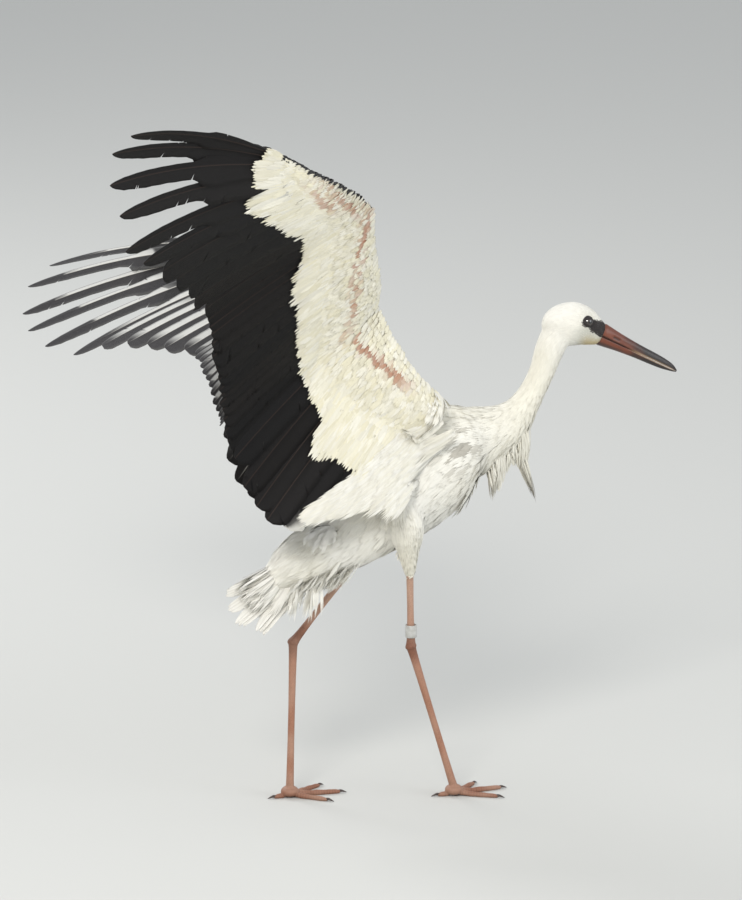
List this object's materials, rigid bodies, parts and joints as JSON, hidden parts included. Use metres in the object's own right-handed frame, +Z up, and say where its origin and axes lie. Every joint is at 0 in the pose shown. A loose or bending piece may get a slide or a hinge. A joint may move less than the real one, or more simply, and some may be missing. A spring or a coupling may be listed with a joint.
{
  "type": "white stork model",
  "caption": "Life-size still model of a young white stork walking low with both black and white wings raised.",
  "frame": {"origin": "bottom centre of the bounding box, at the level of the soles", "axes": "+X the way the bird faces, +Y to the bird's left, +Z up"},
  "size_m": [1.0394, 1.2692, 1.1333],
  "materials": {
    "white_plumage": "soft matte feathers, off-white with cream and grey soiling",
    "black_plumage": "black flight feathers with a slight gloss, grey bloom on their upper faces",
    "bill_horn": "red-brown horn darkening to blackish at the tip, satin",
    "leg_skin": "pinkish brown scaled skin, satin",
    "claw_horn": "dark brown horn",
    "eye": "wet glossy dark brown",
    "leg_ring": "plain pale grey plastic, slightly worn, no marking"
  },
  "bodies": {
    "root": {"bill_lower": "bill_horn", "bill_upper": "bill_horn", "claw_hind_left": "claw_horn", "claw_hind_right": "claw_horn", "claw_inner_left": "claw_horn", "claw_inner_right": "claw_horn", "claw_middle_left": "claw_horn", "claw_middle_right": "claw_horn", "claw_outer_left": "claw_horn", "claw_outer_right": "claw_horn", "eye_left": "eye", "eye_right": "eye", "finger_1_left": "black_plumage", "finger_1_right": "black_plumage", "finger_2_left": "black_plumage", "finger_2_right": "black_plumage", "finger_3_left": "black_plumage", "finger_3_right": "black_plumage", "finger_4_left": "black_plumage", "finger_4_right": "black_plumage", "finger_5_left": "black_plumage", "finger_5_right": "black_plumage", "finger_6_left": "black_plumage", "finger_6_right": "black_plumage", "forearm_left": "white_plumage", "forearm_right": "white_plumage", "hand_left": "white_plumage", "hand_right": "white_plumage", "head": "white_plumage", "leg_ring": "leg_ring", "neck_lower": "white_plumage", "neck_middle": "white_plumage", "neck_upper": "white_plumage", "primaries_inner_left": "black_plumage", "primaries_inner_right": "black_plumage", "primaries_outer_left": "black_plumage", "primaries_outer_right": "black_plumage", "secondaries_left": "black_plumage", "secondaries_right": "black_plumage", "shin_left": "leg_skin", "shin_right": "leg_skin", "tail_coverts": "white_plumage", "tail_feathers": "white_plumage", "tarsus_left": "leg_skin", "tarsus_right": "leg_skin", "tertials_left": "black_plumage", "tertials_right": "black_plumage", "thigh_left": "white_plumage", "thigh_right": "white_plumage", "toe_hind_left": "leg_skin", "toe_hind_right": "leg_skin", "toe_inner_left": "leg_skin", "toe_inner_right": "leg_skin", "toe_middle_left": "leg_skin", "toe_middle_right": "leg_skin", "toe_outer_left": "leg_skin", "toe_outer_right": "leg_skin", "trunk": "white_plumage", "upper_arm_left": "white_plumage", "upper_arm_right": "white_plumage"}
  },
  "joints": []
}
